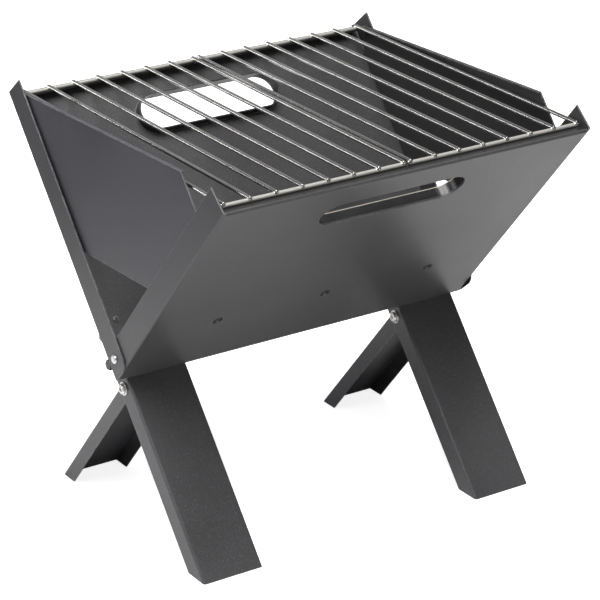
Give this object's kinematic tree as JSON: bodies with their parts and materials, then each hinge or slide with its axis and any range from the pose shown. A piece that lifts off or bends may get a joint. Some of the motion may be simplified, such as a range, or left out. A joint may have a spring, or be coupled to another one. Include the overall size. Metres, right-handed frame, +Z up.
{
  "type": "folding camp grill",
  "caption": "Folding charcoal camp grill: two hinged sheet panels form a V under a cooking grid and stand on crossing, nesting channel legs.",
  "frame": {"origin": "on the ground, midway between the feet, under the middle of the grill", "axes": "+X to the viewer's right along the cooking grid's length, +Y from the front panel to the rear panel, +Z up"},
  "size_m": [0.3566, 0.3412, 0.3572],
  "materials": {
    "charcoal_powder_coat": "satin charcoal powder coat with a very fine texture",
    "nickel_wire": "bright nickel-plated wire",
    "zinc_fastener": "bright zinc",
    "black_fastener": "black oxide, slightly glossy"
  },
  "bodies": {
    "rear_body": {"rear_panel": "charcoal_powder_coat", "body_pivot_rivets": "zinc_fastener", "leg_bracket_left": "charcoal_powder_coat", "leg_bracket_right": "charcoal_powder_coat", "bracket_rivets": "zinc_fastener", "leg_pivot_screws": "zinc_fastener", "leg_pivot_washers": "zinc_fastener", "leg_pivot_nuts": "zinc_fastener"},
    "front_body": {"front_panel": "charcoal_powder_coat"},
    "tray": {"charcoal_tray": "charcoal_powder_coat"},
    "side_plate_left": {"side_plate_left": "charcoal_powder_coat"},
    "half_grid_left": {"grid_bars_left": "nickel_wire", "grid_rails_left": "nickel_wire"},
    "front_leg_left": {"front_leg_left": "charcoal_powder_coat", "fork_spacer_left": "black_fastener", "cross_screws_left": "zinc_fastener", "cross_washers_left": "zinc_fastener", "cross_nuts_left": "zinc_fastener"},
    "rear_leg_left": {"rear_leg_left": "charcoal_powder_coat"},
    "side_plate_right": {"side_plate_right": "charcoal_powder_coat"},
    "half_grid_right": {"grid_bars_right": "nickel_wire", "grid_rails_right": "nickel_wire"},
    "front_leg_right": {"front_leg_right": "charcoal_powder_coat", "fork_spacer_right": "black_fastener", "cross_screws_right": "zinc_fastener", "cross_washers_right": "zinc_fastener", "cross_nuts_right": "zinc_fastener"},
    "rear_leg_right": {"rear_leg_right": "charcoal_powder_coat"}
  },
  "joints": [
    {"name": "front_panel_fold", "type": "hinge", "parent": "rear_body", "child": "front_body", "pos_m": [0, 0, 0.15899], "axis": [-1, 0, 0], "range_deg": [0, 80]},
    {"name": "tray_lift", "type": "slide", "parent": "rear_body", "child": "tray", "axis": [0, 0, 1], "range_m": [0, 0.672]},
    {"name": "side_plate_left_lift", "type": "slide", "parent": "rear_body", "child": "side_plate_left", "axis": [0, 0, 1], "range_m": [0, 0.644]},
    {"name": "half_grid_left_lift", "type": "slide", "parent": "rear_body", "child": "half_grid_left", "axis": [0, 0, 1], "range_m": [0, 0.7]},
    {"name": "front_leg_left_fold", "type": "hinge", "parent": "rear_body", "child": "front_leg_left", "pos_m": [0, 0.03685, 0.16302], "axis": [1, 0, 0], "range_deg": [0, 180]},
    {"name": "rear_leg_left_fold", "type": "hinge", "parent": "front_leg_left", "child": "rear_leg_left", "pos_m": [0, 0.0054, 0.1276], "axis": [1, 0, 0], "range_deg": [-80, 0]},
    {"name": "side_plate_right_lift", "type": "slide", "parent": "rear_body", "child": "side_plate_right", "axis": [0, 0, 1], "range_m": [0, 0.644]},
    {"name": "half_grid_right_lift", "type": "slide", "parent": "rear_body", "child": "half_grid_right", "axis": [0, 0, 1], "range_m": [0, 0.7]},
    {"name": "front_leg_right_fold", "type": "hinge", "parent": "rear_body", "child": "front_leg_right", "pos_m": [0, 0.03685, 0.16302], "axis": [1, 0, 0], "range_deg": [0, 180]},
    {"name": "rear_leg_right_fold", "type": "hinge", "parent": "front_leg_right", "child": "rear_leg_right", "pos_m": [0, 0.0054, 0.1276], "axis": [1, 0, 0], "range_deg": [-80, 0]}
  ],
  "couplings": [
    {"joint": "tray_lift", "follows": "front_panel_fold", "m_per_rad": 0.48},
    {"joint": "side_plate_left_lift", "follows": "front_panel_fold", "m_per_rad": 0.46},
    {"joint": "half_grid_left_lift", "follows": "front_panel_fold", "m_per_rad": 0.5},
    {"joint": "rear_leg_left_fold", "follows": "front_leg_left_fold", "ratio": -0.44444},
    {"joint": "side_plate_right_lift", "follows": "front_panel_fold", "m_per_rad": 0.46},
    {"joint": "half_grid_right_lift", "follows": "front_panel_fold", "m_per_rad": 0.5},
    {"joint": "rear_leg_right_fold", "follows": "front_leg_right_fold", "ratio": -0.44444}
  ]
}
